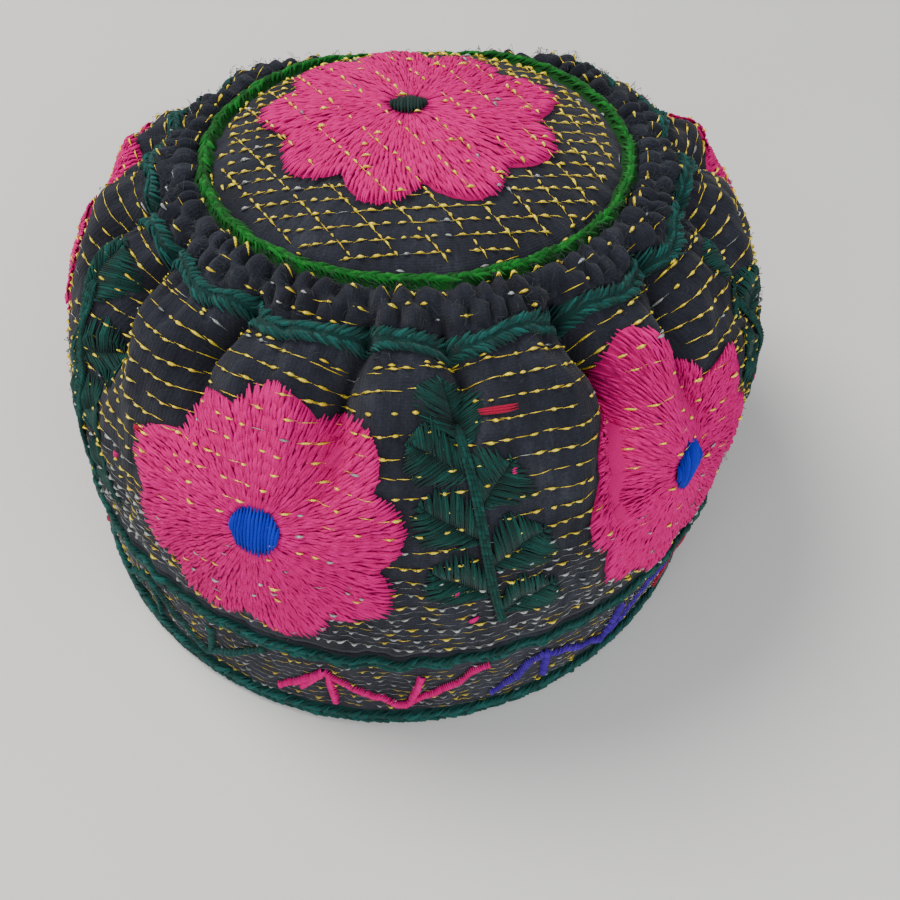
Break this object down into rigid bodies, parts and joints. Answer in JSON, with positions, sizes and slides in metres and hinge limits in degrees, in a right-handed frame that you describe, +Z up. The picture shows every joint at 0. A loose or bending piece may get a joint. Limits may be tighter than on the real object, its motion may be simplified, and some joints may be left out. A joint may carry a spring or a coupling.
{
  "type": "traditional hat",
  "caption": "Embroidered cloth hat with an upright band, a swelling side drawn into folds and gathers, and a puffed round crown with wool flowers.",
  "frame": {"origin": "under the middle of the hat's box, on the surface that its rim stands on", "axes": "+Z up through the crown, -Y towards the hat's front, +X to the right as seen from the front"},
  "size_m": [0.1984, 0.1988, 0.1285],
  "materials": {
    "cloth": "matte",
    "teal_braid": "matte",
    "green_braid": "matte",
    "pink_wool": "matte",
    "blue_wool": "matte",
    "purple_wool": "matte",
    "red_wool": "matte",
    "dark_green_wool": "matte",
    "gold_thread": "satin",
    "silver_thread": "satin"
  },
  "bodies": {
    "root": {"hat_band": "cloth", "side_panel": "cloth", "gathered_yoke": "cloth", "crown": "cloth", "hem_braid": "teal_braid", "band_braid": "teal_braid", "yoke_braid": "teal_braid", "crown_braid": "green_braid", "flower_1": "pink_wool", "flower_2": "pink_wool", "flower_3": "pink_wool", "flower_4": "pink_wool", "flower_5": "pink_wool", "flower_eye_1": "blue_wool", "flower_eye_2": "blue_wool", "flower_eye_3": "blue_wool", "flower_eye_4": "blue_wool", "flower_eye_5": "blue_wool", "crown_flower": "pink_wool", "crown_flower_eye": "dark_green_wool"}
  },
  "joints": []
}
